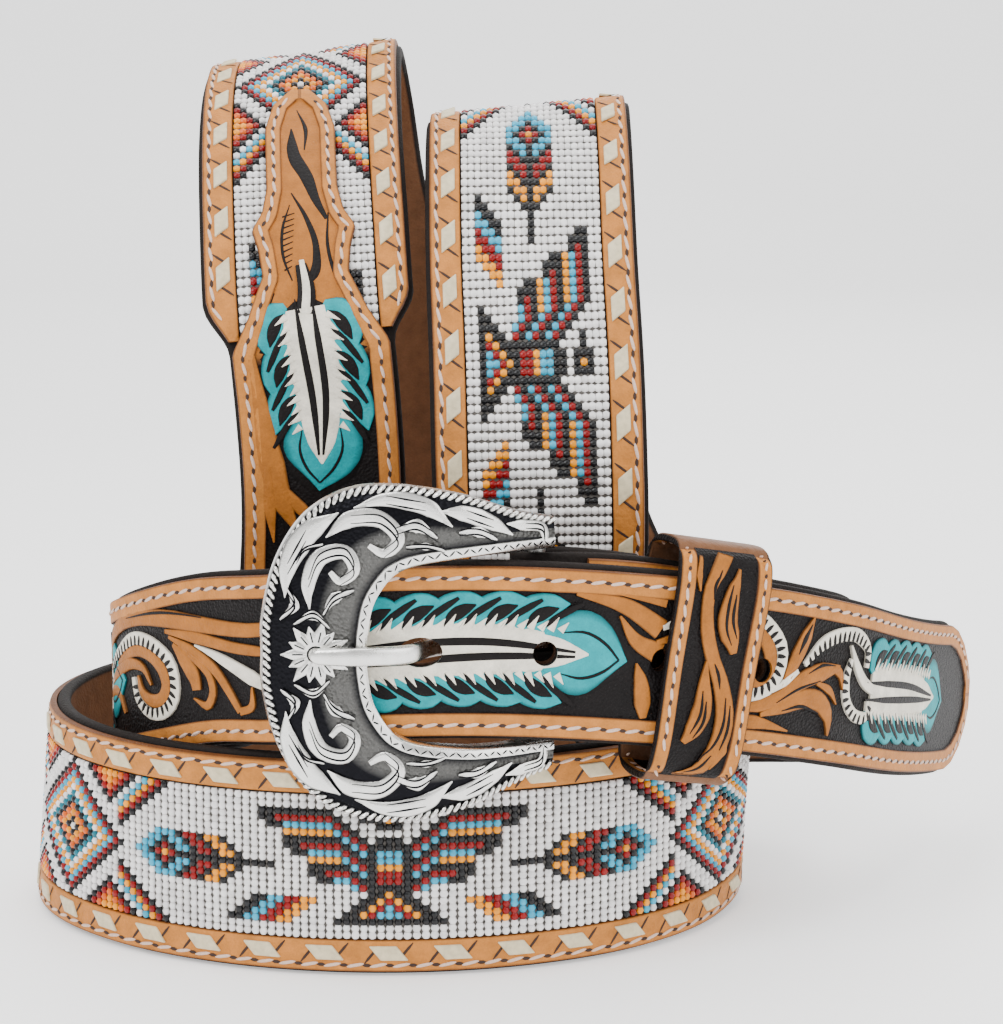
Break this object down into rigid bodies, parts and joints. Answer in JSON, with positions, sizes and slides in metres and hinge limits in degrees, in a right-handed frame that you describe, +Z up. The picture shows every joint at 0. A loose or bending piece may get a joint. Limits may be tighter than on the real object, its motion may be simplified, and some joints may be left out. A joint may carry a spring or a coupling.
{
  "type": "beaded western belt",
  "caption": "Leather western belt with a loom-beaded band, laced borders, carved billets, a silver buckle and a keeper, laid buckled in a stack with two loops.",
  "frame": {"origin": "under the middle of the belt's box, on the surface it stands on", "axes": "+Z up, -Y towards the buckle and the viewer, +X to the viewer's right, towards the free tip"},
  "size_m": [0.232, 0.1652, 0.2031],
  "materials": {
    "lining_leather": "smooth brown lining with black dyed edges",
    "carved_leather": "tooled tan leather with a dyed black background",
    "border_leather": "tan leather, stitched and laced",
    "seed_beads": "opaque glass seed beads on a loom-woven panel",
    "silver_plate": "engraved silver with black antiquing"
  },
  "bodies": {
    "root": {"strap_base": "lining_leather", "tip_billet_face": "carved_leather", "buckle_billet_face": "carved_leather", "border_upper": "border_leather", "border_lower": "border_leather", "bead_panel": "seed_beads", "keeper_loop": "carved_leather", "buckle_frame": "silver_plate", "buckle_tongue": "silver_plate"}
  },
  "joints": []
}
